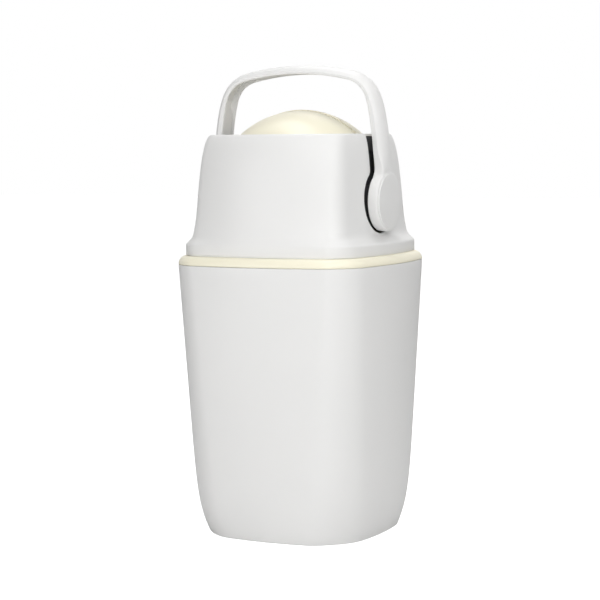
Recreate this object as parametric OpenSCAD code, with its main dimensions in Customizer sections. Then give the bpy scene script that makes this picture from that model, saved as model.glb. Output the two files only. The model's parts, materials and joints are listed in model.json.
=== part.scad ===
// Nappy bin with a turning drum: a tall bin body, a bag ring, and a head that carries a ball-shaped drum.
// The bail handle turns the drum half a turn and drops the nappy into the bag below.
// Millimetres. Origin: centre of the base on the floor. +Z up, -Y front, +X the right-hand side.

/* [Bin body] */
// Height of the bin body's rim above the floor
body_h = 330; // [310:1:360]
// Half width of the bin body at its rim, side to side
body_hx = 131.5; // [128:0.5:135]
// Half depth of the bin body at its rim, front to back
body_hy = 131.5; // [128:0.5:135]
// How far each side draws in, evenly, from the rim to the floor
body_taper = 15; // [10:0.5:18]
// How far the foot tucks in on top of that
foot_tuck = 10.5; // [6:0.5:12]
// Wall thickness of the bin body
body_wall = 2.6; // [2:0.1:4]
// Corner radius at the rim
rim_corner = 35; // [30:1:38]
// Extra corner radius that the foot gains over the rim
foot_corner = 15; // [5:1:20]
// Thickness of the bin body's floor
floor_t = 3; // [2:0.5:5]

/* [Bag ring] */
// Height of the cream ring that shows between body and head
ring_h = 11; // [9:0.5:14]
// Dark shadow gap between the ring and the body
ring_gap = 1; // [0.5:0.1:1.5]
// Width of the ring's flat land from the head's flange to its inner edge
ring_land = 9; // [7:0.5:10]
// Depth of the skirt that holds the bag inside the body's rim
skirt_depth = 12; // [8:1:16]
// Thickness of the skirt
skirt_t = 2.2; // [1.6:0.1:3]
// Gap between the skirt and the body's wall, which the hinge swing needs
skirt_gap = 1.9; // [1.7:0.1:2.5]

/* [Head] */
// Height of the head from the ring to its rim
head_h = 144.5; // [143:0.5:147]
// How far the head's flange is set in from the body's rim
flange_inset = 9.5; // [9:0.1:10.5]
// Half width of the head at the drum's axis
head_hx = 104; // [103:0.1:105]
// Half depth of the head at the drum's axis
head_hy = 116; // [115.5:0.1:117]
// Radius of the head's four upright corners
head_corner = 26; // [22:1:28]
// How far a corner's middle lies behind the middle of the head's bowed front
front_bow = 41; // [40:0.5:46]
// How far the head's sides bow out between their corners
side_bow = 4.3; // [3.5:0.1:5]
// Wall thickness of the head
head_wall = 2.6; // [2:0.1:2.8]
// Thickness of the deck, of the cradle and of the bearing plates
plate_t = 3; // [2.5:0.1:3]
// Radius of the round notch in each side wall, behind the hub
notch_r = 38.2; // [37.8:0.1:41]
// Half width of the slot from the notch up to the rim
slot_hw = 18.5; // [17.5:0.5:24]

/* [Drum] */
// Radius of the drum's ball
drum_r = 110.8; // [110:0.1:111]
// Half width of the drum between its flat ends
drum_hx = 82; // [81:0.1:82.2]
// Wall thickness of the drum
drum_wall = 2.6; // [2.2:0.1:3]
// Depth of the drum's axis below the head's rim
axis_drop = 81; // [80.5:0.1:81.5]
// Radius of the nappy chamber's bore
chamber_r = 66; // [60:0.5:66.5]
// Wall thickness of the chamber tube
tube_wall = 2.6; // [2:0.1:3]
// Seam gap between the two halves of the drum
seam_gap = 0.6; // [0.4:0.1:1]

/* [Bearings] */
// Radius of the trunnions that carry the drum
trunnion_r = 13.5; // [11:0.5:14.5]
// Wall thickness of the bushes
bush_wall = 3; // [2:0.5:3.5]
// Running clearance between a trunnion and its bush
bush_clear = 0.05; // [0.02:0.01:0.09]
// Wall thickness of the boss that holds a bush
boss_wall = 2.5; // [2:0.5:3]

/* [Handle] */
// Thickness of the handle's strap
strap_t = 11; // [10:0.5:11.5]
// Width of the handle's strap, front to back
strap_w = 31; // [28:1:32]
// How far the strap's edges fall back from its rounded outer crest
strap_crown = 6; // [4:0.5:6.5]
// How much thicker the handle's arms are than its crossbar
arm_extra = 2.8; // [2:0.1:3]
// Height of the handle's crossbar above the drum's axis
handle_rise = 164.5; // [160:0.5:175]
// Outer half width that the handle's arms flare towards
handle_hx = 117; // [116.5:0.5:118]
// Outer half width over the handle's hubs
hub_hx = 118.5; // [118:0.5:120]
// Radius of the handle's hubs
hub_r = 36; // [33:0.5:36]
// Radius of the caps on the hubs
cap_r = 33; // [28:0.5:33]
// How far a cap stands out from its hub
cap_t = 1.2; // [1:0.1:3]

/* [Piston] */
// Length of the piston
piston_len = 86; // [70:2:86]
// Travel of the piston each way from the middle
piston_travel = 45; // [40:1:45]
// Clearance between the piston's seal and the chamber's bore
seal_clear = 0.1; // [0.05:0.01:0.1]

/* [Rear hinge] */
// Radius of the hinge pin
pin_r = 2.5; // [2:0.25:3]
// Radius of the hinge knuckles
knuckle_r = 6.5; // [6:0.25:7]
// Running clearance between the pin and the knuckles that turn on it
pin_clear = 0.06; // [0.03:0.01:0.1]
// Length of one knuckle
knuckle_len = 10; // [8:0.5:12]

/* [Hidden] */
$fn = 96;

white_plastic = [0.90, 0.90, 0.89];
cream_plastic = [0.97, 0.94, 0.79];
dark_plastic = [0.13, 0.13, 0.14];
acetal = [0.82, 0.83, 0.84];
rubber = [0.18, 0.18, 0.18];
steel = [0.62, 0.63, 0.65];

// Heights
ring_top = body_h + ring_h;
head_top = ring_top + head_h;
// Height of the drum's axis above the bag ring
pivot_h = head_h - axis_drop;
pivot_z = ring_top + pivot_h;
handle_top = pivot_z + handle_rise;

// How far a side's corners fall back from the middle of the side, as a share of its half width
side_crown = 0.118;
// Height over which the foot's tuck fades out
foot_reach = 27;
// Rounding of the edge at the floor
foot_edge = 2;
// Play between plates and the walls that they drop into
drop_in = 0.3;
// A cut runs this far past the face that it opens
past = 1;

// ---- Plans and lofts ----

corner_steps = 6;
side_steps = 6;

// One side of a plan, from the end of one corner arc to the start of the next
function between(a, b, n) = [for (i = [1:n - 1]) a + (b - a) * i / n];
function corner_arc(sx, sy, hx, hy, r, from) = [for (i = [0:corner_steps])
    let (t = from + 90 * i / corner_steps) [sx * (hx - r) + r * cos(t), sy * (hy - r) + r * sin(t)]];
function crowned(p, hx, hy) = [p[0] * (1 - side_crown * pow(p[1] / hy, 2)),
    p[1] * (1 - side_crown * pow(p[0] / hx, 2))];

// A rounded rectangle whose sides swell slightly, as a list of points
function plan(hx, hy, r) =
    let (a = corner_arc(1, 1, hx, hy, r, 0), b = corner_arc(-1, 1, hx, hy, r, 90),
        c = corner_arc(-1, -1, hx, hy, r, 180), d = corner_arc(1, -1, hx, hy, r, 270),
        e = corner_steps)
    [for (p = concat(a, between(a[e], b[0], side_steps), b, between(b[e], c[0], side_steps),
        c, between(c[e], d[0], side_steps), d, between(d[e], a[0], side_steps))) crowned(p, hx, hy)];

function ring_at(z, hx, hy, r) = [for (p = plan(hx, hy, r)) [p[0], p[1], z]];

function band_faces(n, low, high) = [for (i = [0:n - 1]) each [
    [low + i, high + i, high + (i + 1) % n], [low + i, high + (i + 1) % n, low + (i + 1) % n]]];

// A closed solid through a stack of rings, with a flat cap at each end
module capped_loft(rings) {
    n = len(rings[0]);
    last = len(rings) - 1;
    polyhedron(points = [for (r = rings) each r],
        faces = concat([[for (i = [0:n - 1]) i]],
            [for (k = [0:last - 1]) each band_faces(n, k * n, (k + 1) * n)],
            [[for (i = [n - 1:-1:0]) last * n + i]]));
}

// A closed solid through a loop of rings, up the outside and down the inside
module looped_loft(rings) {
    n = len(rings[0]);
    count = len(rings);
    polyhedron(points = [for (r = rings) each r],
        faces = [for (k = [0:count - 1]) each band_faces(n, k * n, ((k + 1) % count) * n)]);
}

// Two mirrored copies, one on each side
module both_sides() {
    children();
    mirror([1, 0, 0]) children();
}

// Puts a flat shape drawn in (Y, Z) at x, and gives it a thickness towards +X
module slab_x(x, t) {
    translate([x, 0, 0]) rotate([90, 0, 90]) linear_extrude(t) children();
}

module rod_x(x0, x1, r, y = 0, z = pivot_z) {
    translate([x0, y, z]) rotate([0, 90, 0]) cylinder(h = x1 - x0, r = r);
}

module rod_y(y0, y1, r, x = 0, z = pivot_z) {
    translate([x, y1, z]) rotate([90, 0, 0]) cylinder(h = y1 - y0, r = r);
}

// ---- Rear hinge ----

hinge_y = body_hy + knuckle_r + 1.5;
hinge_z = ring_top;
knuckle_gap = 0.4;
// Middle of each kind of knuckle, counted out from the middle of the bin
head_knuckle_x = 12;
ring_knuckle_x = head_knuckle_x + knuckle_len + knuckle_gap;
body_knuckle_x = ring_knuckle_x + knuckle_len + knuckle_gap;
pin_half = body_knuckle_x + knuckle_len / 2 + 2;

// One knuckle with its arm; the arm's outline is given in (Y, Z)
module knuckle(x, arm, bore_r) {
    difference() {
        union() {
            slab_x(x - knuckle_len / 2, knuckle_len) polygon(arm);
            rod_x(x - knuckle_len / 2, x + knuckle_len / 2, knuckle_r, hinge_y, hinge_z);
        }
        rod_x(x - knuckle_len / 2 - past, x + knuckle_len / 2 + past, bore_r, hinge_y, hinge_z);
    }
}

// ---- Bin body ----

function side_in(z) = body_taper * (1 - z / body_h) + foot_tuck * exp(-pow(z / foot_reach, 1.1));
function body_corner(z) = rim_corner + foot_corner * (1 - z / body_h);
function body_ring(z, inset) = ring_at(z, body_hx - side_in(z) - inset, body_hy - side_in(z) - inset,
    body_corner(z) - inset);
body_levels = [foot_edge, 8, 16, 26, 40, 60, 90, 140, 220, body_h];
body_inner_levels = [body_h, 220, 140, 90, 60, 40, 26, 16, 8];

module bin_body() color(white_plastic) {
    ear = [[body_hy - 4, body_h - 36], [hinge_y + 0.5, body_h - 8], [hinge_y + knuckle_r, hinge_z],
        [hinge_y - knuckle_r, hinge_z], [body_hy + 1, body_h - 2], [body_hy - 2, body_h - 12]];
    capped_loft(concat(
        [body_ring(0, foot_edge), body_ring(foot_edge * 0.3, foot_edge * 0.3)],
        [for (z = body_levels) body_ring(z, 0)],
        [for (z = body_inner_levels) body_ring(z, body_wall)],
        [body_ring(floor_t, body_wall + foot_edge)]));
    both_sides() knuckle(body_knuckle_x, ear, pin_r);
}

module hinge_pin() color(steel) {
    rod_x(-pin_half, pin_half, pin_r, hinge_y, hinge_z);
}

// ---- Bag ring ----

flange_hx = body_hx - flange_inset;
flange_hy = body_hy - flange_inset;
flange_corner = rim_corner - flange_inset;
ring_hx = flange_hx - ring_land;
ring_hy = flange_hy - ring_land;
skirt_out = body_wall + skirt_gap;

// The ring's round outside, as a quarter of an ellipse from its foot to the head's flange
function ring_shoulder(t) = ring_at(body_h + ring_gap + (ring_h - ring_gap) * sin(t),
    flange_hx + flange_inset * cos(t), flange_hy + flange_inset * cos(t),
    flange_corner + (rim_corner - flange_corner) * cos(t));

module bag_ring() color(cream_plastic) {
    arm = [[flange_hy - 6, ring_top], [flange_hy - 6, ring_top - 5], [body_hy - 2, body_h + ring_gap + 1],
        [hinge_y, hinge_z - knuckle_r], [hinge_y, hinge_z]];
    looped_loft(concat(
        [ring_at(body_h - skirt_depth, body_hx - skirt_out, body_hy - skirt_out, rim_corner - skirt_out),
            ring_at(body_h, body_hx - skirt_out, body_hy - skirt_out, rim_corner - skirt_out),
            ring_at(body_h, body_hx - 1, body_hy - 1, rim_corner - 1),
            ring_at(body_h + ring_gap, body_hx - 1, body_hy - 1, rim_corner - 1)],
        [for (t = [0:15:90]) ring_shoulder(t)],
        [ring_at(ring_top, ring_hx, ring_hy, flange_corner - 6),
            ring_at(ring_top - 3, ring_hx, ring_hy, flange_corner - 6),
            ring_at(body_h, body_hx - skirt_out - skirt_t, body_hy - skirt_out - skirt_t,
                rim_corner - skirt_out - skirt_t),
            ring_at(body_h - skirt_depth, body_hx - skirt_out - skirt_t, body_hy - skirt_out - skirt_t,
                rim_corner - skirt_out - skirt_t)]));
    both_sides() knuckle(ring_knuckle_x, arm, pin_r + pin_clear);
}

// ---- Head ----

// The head's outside by height over the ring: how far its corners stand out or draw in, and how far it
// has turned from the flange's plan into its own plan of flat sides and a bowed front and back
head_form = [[0, 6, 0], [9, 6, 0], [13, 5.8, 0.1], [17, 5.6, 0.32], [21, 5.3, 0.6], [24.5, 5.1, 0.85],
    [28, 4.7, 1], [40, 2.5, 1], [63.5, 0, 1], [88.5, -2.4, 1], [113, -5.4, 1], [125, -7.7, 1],
    [132, -9.4, 1], [138, -11.6, 1], [142, -13.6, 1], [144.5, -15.6, 1]];
function column(k) = [for (row = head_form) [row[0], row[k]]];

// The head's plan: corner arcs of radius r about (cx, cy), joined smoothly by bowed fronts and sides
function head_plan(hx, hy, cx, cy, r) =
    let (rs = (pow(hx - cx, 2) + cy * cy - r * r) / (2 * (hx - cx - r)),
        rf = (pow(hy - cy, 2) + cx * cx - r * r) / (2 * (hy - cy - r)),
        a = asin(cy / (rs - r)), b = acos(cx / (rf - r)),
        right = [for (i = [0:corner_steps]) let (t = a + (b - a) * i / corner_steps)
            [cx + r * cos(t), cy + r * sin(t)]],
        rear = [for (i = [1:side_steps - 1]) let (t = b + (180 - 2 * b) * i / side_steps)
            [rf * cos(t), hy - rf + rf * sin(t)]],
        side = [for (i = [1:side_steps - 1]) let (t = 180 - a + 2 * a * i / side_steps)
            [rs - hx + rs * cos(t), rs * sin(t)]],
        half = concat(right, rear, [for (i = [corner_steps:-1:0]) [-right[i][0], right[i][1]]], side))
    concat(half, [for (p = half) -p]);

function head_ring(h, inset) = let (s = h * 144.5 / head_h, grow = lookup(s, column(1)) * head_h / 144.5,
        w = lookup(s, column(2)), cx = head_hx - side_bow - head_corner + 0.56 * grow,
        cy = head_hy - front_bow + 1.1 * grow,
        low = plan(flange_hx - inset, flange_hy - inset, flange_corner - inset),
        high = head_plan(cx + head_corner + side_bow - inset, cy + front_bow - inset, cx, cy,
            head_corner - inset))
    [for (i = [0:len(low) - 1]) let (p = low[i] * (1 - w) + high[i] * w) [p[0], p[1], ring_top + h]];
head_levels = [for (row = head_form) row[0] * head_h / 144.5];
ledge_t = 1.8;
cradle_bottom = 0.5;
cradle_top = cradle_bottom + plate_t;
deck_top = head_h - 5.5;
deck_bottom = deck_top - plate_t;

module head_shell() color(white_plastic) {
    arm = [[flange_hy - 1.5, ring_top + 8], [flange_hy - 1.5, ring_top + 0.4], [hinge_y - knuckle_r, hinge_z + 0.4],
        [hinge_y, hinge_z], [hinge_y, hinge_z + knuckle_r]];
    difference() {
        looped_loft(concat(
            [for (h = head_levels) head_ring(h, 0)],
            [head_ring(head_h - 1, head_wall), head_ring(deck_top, head_wall)],
            [for (i = [len(head_levels) - 1:-1:0]) if (head_levels[i] < head_h - 20 &&
                head_levels[i] > cradle_top + 10) head_ring(head_levels[i], head_wall)],
            [head_ring(cradle_top + 7, head_wall),
                head_ring(cradle_top + 4, head_wall + ledge_t), head_ring(cradle_top, head_wall + ledge_t),
                head_ring(cradle_top, head_wall), head_ring(0, head_wall)]));
        both_sides() {
            rod_x(drum_hx + 4, flange_hx + past, notch_r);
            translate([drum_hx + 4, -slot_hw, pivot_z]) cube([flange_hx, 2 * slot_hw, head_h]);
        }
    }
    both_sides() knuckle(head_knuckle_x, arm, pin_r + pin_clear);
}

// A plate that drops into the head at height h, as a flat outline
module head_outline(h, inset) {
    polygon([for (p = head_ring(h, inset)) [p[0], p[1]]]);
}

// The drum's own outline at height z, opened by a gap
function ball_at(z) = sqrt(drum_r * drum_r - (z - pivot_z) * (z - pivot_z));
drum_side_gap = 0.6;
plate_x = drum_hx + 1.5;
// Inner face of the guards that close the slots behind the handle's arms
guard_x = plate_x + plate_t + 1.3;
guard_t = 2.5;
guard_drop = 12;

// A flat-sided round hole that the drum turns in
module drum_hole(r) {
    intersection() {
        circle(r);
        square([2 * (drum_hx + drum_side_gap), 3 * r], center = true);
    }
}

module top_deck() color(white_plastic) {
    translate([0, 0, ring_top + deck_bottom]) linear_extrude(plate_t) difference() {
        head_outline(deck_top, head_wall + drop_in);
        drum_hole(ball_at(ring_top + deck_bottom) + 1);
        // the slots that the handle's arms stand in
        for (x = [-drum_r - guard_x + drop_in, guard_x - drop_in])
            translate([x, -slot_hw]) square([drum_r, 2 * slot_hw]);
    }
}

module drum_cradle() color(dark_plastic) {
    difference() {
        translate([0, 0, ring_top + cradle_bottom]) linear_extrude(plate_t) difference() {
            head_outline(cradle_top, head_wall + drop_in);
            drum_hole(ball_at(ring_top + cradle_top) + 1);
        }
        at_cradle_screws() translate([0, 0, ring_top]) cylinder(h = plate_t + past, r = screw_r + 0.2);
    }
}

// A lip seal round the ball between two heights; its inner face follows the ball
seal_clear_ball = 0.35;
module ball_seal(z0, z1, width) {
    intersection() {
        rotate_extrude() polygon([[ball_at(z0) + seal_clear_ball, z0], [max(ball_at(z0), ball_at(z1)) + width, z0],
            [max(ball_at(z0), ball_at(z1)) + width, z1], [ball_at(z1) + seal_clear_ball, z1]]);
        translate([-drum_hx, -2 * drum_r, z0 - past]) cube([2 * drum_hx, 4 * drum_r, z1 - z0 + 2 * past]);
    }
}

module upper_seal() color(rubber) ball_seal(ring_top + deck_top, ring_top + deck_top + 2.5, 5);

module lower_seal() color(rubber) ball_seal(ring_top + cradle_bottom - 2.7, ring_top + cradle_bottom, 7);

// ---- Bearings ----

// Inner and outer face of the handle's hubs
hub_t = 13;
hub_out = hub_hx;
hub_in = hub_out - hub_t;
boss_r = trunnion_r + bush_clear + bush_wall + boss_wall;
bush_r = trunnion_r + bush_clear + bush_wall;
boss_end = hub_in - 1.7;
screw_r = 2;
foot_hw = 44;
foot_depth = 11;
foot_height = 9;
plate_hw = 30;

module at_cradle_screws() {
    for (sx = [-1, 1], sy = [-1, 1])
        translate([sx * (plate_x + plate_t + 5.5), sy * (foot_hw - 8), 0]) children();
}

module bearing_plate() color(dark_plastic) {
    difference() {
        union() {
            slab_x(plate_x, plate_t) {
                translate([0, pivot_z]) circle(notch_r + 5);
                translate([-plate_hw, ring_top + cradle_top]) square([2 * plate_hw, pivot_h - cradle_top]);
                translate([-slot_hw - 6, pivot_z]) square([2 * slot_hw + 12, deck_bottom - pivot_h]);
            }
            rod_x(plate_x, boss_end, boss_r);
            translate([guard_x, 1 - slot_hw, ring_top + deck_bottom - guard_drop])
                cube([guard_t, 2 * slot_hw - 2, plate_t + guard_drop + 2.5]);
            translate([plate_x, 1 - slot_hw, ring_top + deck_bottom - guard_drop])
                cube([guard_x - plate_x + 1, 2 * slot_hw - 2, guard_drop / 2]);
            translate([plate_x, -foot_hw, ring_top + cradle_top]) cube([foot_depth, 2 * foot_hw, foot_height]);
        }
        rod_x(plate_x - past, boss_end + past, bush_r);
        at_cradle_screws() translate([0, 0, ring_top + cradle_top - past])
            cylinder(h = foot_height + 2 * past, r = screw_r);
    }
}

module bearing_plate_right() bearing_plate();
module bearing_plate_left() mirror([1, 0, 0]) bearing_plate();

bush_flange_r = bush_r + 5;
module bush() color(acetal) {
    difference() {
        union() {
            rod_x(plate_x, boss_end, bush_r);
            rod_x(drum_hx + 0.3, plate_x, bush_flange_r);
        }
        rod_x(drum_hx, boss_end + past, trunnion_r + bush_clear);
    }
}

module bush_right() bush();
module bush_left() mirror([1, 0, 0]) bush();

module cradle_screws() color(steel) {
    at_cradle_screws() {
        translate([0, 0, ring_top + cradle_bottom]) cylinder(h = plate_t + foot_height - 1, r = screw_r);
        translate([0, 0, ring_top + cradle_bottom - 2.2]) cylinder(h = 2.2, r = 2 * screw_r);
    }
}

// ---- Drum ----

mouth_r = chamber_r + 8;
mouth_y = 80;
// The drum's wall turns in to a lip that a mouth ring and its seat clamp between them
lip_r = chamber_r + 6.6;
lip_t = 3;
tongue_t = 2;
tongue_gap = 0.2;
tongue_root = 0.6;

// The ball's poles lie on the chamber's axis
module ball(r) {
    translate([0, 0, pivot_z]) rotate([90, 0, 0]) sphere(r, $fn = 128);
}

module ball_block(r) {
    intersection() {
        ball(r);
        translate([-drum_hx + drum_r - r, -2 * drum_r, pivot_z - 2 * drum_r])
            cube([2 * (drum_hx - drum_r + r), 4 * drum_r, 4 * drum_r]);
    }
}

// Half of the drum on the -Y side, with its edge at y
module drum_half(edge) {
    intersection() {
        difference() {
            ball_block(drum_r);
            difference() {
                ball_block(drum_r - drum_wall);
                rod_y(-mouth_y, -mouth_y + lip_t, mouth_r + 3);
            }
            rod_y(-drum_r - past, -mouth_y, mouth_r + 0.3);
            rod_y(-drum_r, 0, lip_r);
            rod_x(-drum_hx - past, drum_hx + past, trunnion_r + 0.1);
        }
        translate([-drum_r, -2 * drum_r, pivot_z - drum_r - past]) cube([2 * drum_r, 2 * drum_r + edge,
            2 * drum_r + 2 * past]);
    }
}

module drum_front_half() color(cream_plastic) drum_half(-seam_gap);

// A slice of a thin shell under the drum's wall, from y0 to y1
module tongue_slice(gap, y0, y1) {
    intersection() {
        difference() {
            ball_block(drum_r - drum_wall - gap);
            ball_block(drum_r - drum_wall - tongue_gap - tongue_t);
            rod_x(-drum_hx, drum_hx, trunnion_flange_r + 1);
        }
        translate([-drum_r, y0, 0]) cube([2 * drum_r, y1 - y0, 3 * drum_r + pivot_z]);
    }
}

module drum_rear_half() color(cream_plastic) {
    mirror([0, 1, 0]) drum_half(0);
    // the tongue grows from the rear half and keys into the front half
    tongue_slice(-tongue_root, 0.5, 3);
    tongue_slice(tongue_gap, -5, 0.5);
}

module chamber_tube() color(white_plastic) {
    difference() {
        rod_y(-mouth_y + lip_t, mouth_y - lip_t, chamber_r + tube_wall);
        rod_y(-mouth_y, mouth_y, chamber_r);
    }
}

mouth_screw_r = 1.25;
mouth_screw_pcr = chamber_r + 4.6;
module at_mouth_screws() {
    for (a = [45:90:315]) translate([mouth_screw_pcr * cos(a), 0, pivot_z + mouth_screw_pcr * sin(a)]) children();
}

screw_head_y = mouth_y + 1.2;
mouth_head_t = 1.2;
module mouth_ring() color(white_plastic) {
    difference() {
        union() {
            intersection() {
                ball(drum_r - 0.4);
                rod_y(-drum_r, -mouth_y, mouth_r);
            }
            rod_y(-mouth_y - past, -mouth_y + lip_t, lip_r - 0.3);
        }
        rod_y(-drum_r - past, 0, chamber_r);
        at_mouth_screws() {
            rod_y(-drum_r, 0, mouth_screw_r + 0.1, 0, 0);
            rod_y(-drum_r, -screw_head_y, 2 * mouth_screw_r + 0.1, 0, 0);
        }
    }
}

// The ring behind the lip, round the chamber tube's end
module mouth_seat() color(white_plastic) {
    difference() {
        rod_y(-mouth_y + lip_t, -mouth_y + 2 * lip_t, mouth_r + 1);
        rod_y(-mouth_y, 0, chamber_r + tube_wall + 0.1);
        at_mouth_screws() rod_y(-mouth_y, 0, mouth_screw_r, 0, 0);
    }
}

module mouth_ring_front() mouth_ring();
module mouth_ring_rear() mirror([0, 1, 0]) mouth_ring();
module mouth_seat_front() mouth_seat();
module mouth_seat_rear() mirror([0, 1, 0]) mouth_seat();

module mouth_screws() color(steel) {
    for (side = [0, 1]) mirror([0, side, 0]) at_mouth_screws() {
        rod_y(-screw_head_y, -mouth_y + 2 * lip_t, mouth_screw_r, 0, 0);
        rod_y(-screw_head_y - mouth_head_t, -screw_head_y, 2 * mouth_screw_r, 0, 0);
    }
}

// ---- Trunnions ----

trunnion_flange_r = trunnion_r + 8;
key_side = 16;
key_len = 5;
hub_screw_r = 3;
screw_depth = 22;

module trunnion() color(acetal) {
    difference() {
        union() {
            rod_x(drum_hx - drum_wall - 3, drum_hx - drum_wall, trunnion_flange_r);
            rod_x(drum_hx - drum_wall - 3, hub_in, trunnion_r);
            translate([hub_in - past, -key_side / 2, pivot_z - key_side / 2])
                cube([key_len + past, key_side, key_side]);
        }
        rod_x(hub_in - screw_depth, hub_in + key_len + past, hub_screw_r);
    }
}

module trunnion_right() trunnion();
module trunnion_left() mirror([1, 0, 0]) trunnion();

// ---- Handle ----

// The crest of the right half, seen from the front: crossbar, corner, and the arm
crown_end = [0.62 * handle_hx, handle_top - 0.05 * handle_rise];
corner_knot = [0.836 * handle_hx, handle_top - 0.086 * handle_rise];
arm_top = [0.912 * handle_hx, handle_top - 0.244 * handle_rise];
arm_knot = [handle_hx, handle_top - 0.4255 * handle_rise];
arm_end = [hub_out - 0.5, pivot_z + 1.15 * hub_r];
function mix(a, b, c, t) = a * (1 - t) * (1 - t) + b * 2 * t * (1 - t) + c * t * t;
half_outline = concat([for (i = [0:6]) [crown_end[0] * i / 7, handle_top - 0.05 * handle_rise * i * i / 49]],
    [for (i = [0:11]) mix(crown_end, corner_knot, arm_top, i / 12)],
    [for (i = [0:6]) mix(arm_top, arm_knot, arm_end, i / 6)], [[hub_out - 0.5, pivot_z]]);

// Points set in from the outline by a depth, square to it
function normal_at(pts, i) = let (a = pts[max(i - 1, 0)], b = pts[min(i + 1, len(pts) - 1)], d = b - a)
    i == 0 ? [0, -1] : [d[1], -d[0]] / norm(d);
function eased(t) = let (u = min(max(t, 0), 1)) u * u * (3 - 2 * u);
function arm_gain(z) = arm_extra * eased(((handle_top - z) / handle_rise - 0.03) / 0.456);
function set_in(pts, depth) = [for (i = [0:len(pts) - 1])
    pts[i] + (depth + arm_gain(pts[i][1])) * normal_at(pts, i)];
function flipped(pts) = [for (i = [len(pts) - 1:-1:0]) [-pts[i][0], pts[i][1]]];
function backwards(pts) = [for (i = [len(pts) - 1:-1:0]) pts[i]];
function whole(pts) = concat(flipped(pts), [for (i = [1:len(pts) - 1]) pts[i]]);

// A flat-sided layer between two depths under the crest, deeper where the arms are thicker
module strap(outer, inner, y0, y1) {
    translate([0, y1, 0]) rotate([90, 0, 0]) linear_extrude(y1 - y0)
        polygon(concat(whole(set_in(half_outline, outer)), backwards(whole(set_in(half_outline, inner)))));
}

// The strap's section at a point of the crest: rounded outside, flat inside. The rounding fades out
// towards the hub
function strap_section(z) = let (crown = strap_crown * eased((z - pivot_z - 0.95 * hub_r) / (0.83 * hub_r)),
        hw = strap_w / 2, t = strap_t + arm_gain(z))
    concat([[hw, t]], [for (u = [1:-0.25:-1]) [u * hw, crown * u * u]], [[-hw, t]]);
function strap_rings(pts) = [for (i = [0:len(pts) - 1])
    let (n = normal_at(pts, i)) [for (q = strap_section(pts[i][1]))
        [pts[i][0] + q[1] * n[0], q[0], pts[i][1] + q[1] * n[1]]]];
module crowned_strap() {
    rings = strap_rings(half_outline);
    left = [for (i = [len(rings) - 1:-1:1]) [for (q = rings[i]) [-q[0], q[1], q[2]]]];
    capped_loft(concat(left, rings));
}

neck_fillet = 15;
neck_y = strap_w / 2 + neck_fillet;
neck_z = sqrt(pow(hub_r + neck_fillet, 2) - neck_y * neck_y);
// The channel inside the corners and arms
channel_floor = strap_crown;
channel_hw = strap_w / 2 - 3.2;
channel_x = 0.55 * handle_hx;
channel_foot = pivot_z + hub_r + 4;

module hub_flat() {
    circle(hub_r);
    translate([-strap_w / 2, 0]) square([strap_w, neck_z]);
    for (side = [-1, 1]) difference() {
        polygon([[0, 0], [side * neck_y * hub_r / (hub_r + neck_fillet), neck_z * hub_r / (hub_r + neck_fillet)],
            [side * neck_y, neck_z], [0, neck_z]]);
        translate([side * neck_y, neck_z]) circle(neck_fillet);
    }
}

module handle() color(white_plastic) {
    difference() {
        union() {
            crowned_strap();
            both_sides() slab_x(hub_in, hub_t) translate([0, pivot_z]) hub_flat();
        }
        both_sides() intersection() {
            strap(channel_floor, strap_t + 6, -channel_hw, channel_hw);
            translate([channel_x, -channel_hw, channel_foot]) cube([handle_hx, 2 * channel_hw, handle_top]);
        }
        // the arms end inside the hubs
        both_sides() translate([0, -strap_w, pivot_z - 1]) cube([hub_in, 2 * strap_w, hub_r - 6]);
        // socket for the trunnion's key, and the screw's hole and counterbore
        both_sides() {
            translate([hub_in - past, -key_side / 2 - 0.1, pivot_z - key_side / 2 - 0.1])
                cube([key_len + past + 0.2, key_side + 0.2, key_side + 0.2]);
            rod_x(hub_in, hub_out + past, hub_screw_r + 0.2);
            rod_x(hub_out - 4, hub_out + past, 2 * hub_screw_r + 1);
        }
    }
}

insert_back = 4;
insert_top = arm_top[1] + insert_back;
module arm_insert() color(white_plastic) {
    intersection() {
        strap(channel_floor + 0.1, strap_t - 0.8, 0.1 - channel_hw, insert_back);
        translate([0, -channel_hw, channel_foot]) cube([2 * handle_hx, 2 * channel_hw, insert_top - channel_foot]);
    }
}

module arm_insert_right() arm_insert();
module arm_insert_left() mirror([1, 0, 0]) arm_insert();

module hub_screw() color(steel) {
    rod_x(hub_in - screw_depth + 1, hub_out - 4, hub_screw_r);
    rod_x(hub_out - 4, hub_out - 0.5, 2 * hub_screw_r);
}

module hub_screw_right() hub_screw();
module hub_screw_left() mirror([1, 0, 0]) hub_screw();

module hub_cap() color(white_plastic) {
    rod_x(hub_out, hub_out + cap_t, cap_r);
}

module hub_cap_right() hub_cap();
module hub_cap_left() mirror([1, 0, 0]) hub_cap();

// ---- Piston ----

piston_r = chamber_r - 0.5;
piston_wall = 2;
seal_half = 6.5;
weight_r = 36;
weight_half = 9;
piston_screw_r = 2;
piston_screw_pcr = 24;

module at_piston_screws() {
    for (a = [90:120:330]) translate([piston_screw_pcr * cos(a), 0, pivot_z + piston_screw_pcr * sin(a)]) children();
}

module piston_cup() color(white_plastic) {
    difference() {
        rod_y(-piston_len / 2, -seal_half, piston_r);
        difference() {
            rod_y(-piston_len / 2 + piston_wall, -seal_half + past, piston_r - piston_wall);
            at_piston_screws() rod_y(-piston_len / 2, -weight_half, 3 * piston_screw_r, 0, 0);
        }
        at_piston_screws() rod_y(-weight_half - 14, 0, piston_screw_r, 0, 0);
    }
}

module piston_cup_front() piston_cup();
module piston_cup_rear() mirror([0, 1, 0]) piston_cup();

module piston_seal() color(rubber) {
    difference() {
        rod_y(-seal_half, seal_half, chamber_r - seal_clear);
        rod_y(-seal_half - past, seal_half + past, piston_r - 6);
    }
}

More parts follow.
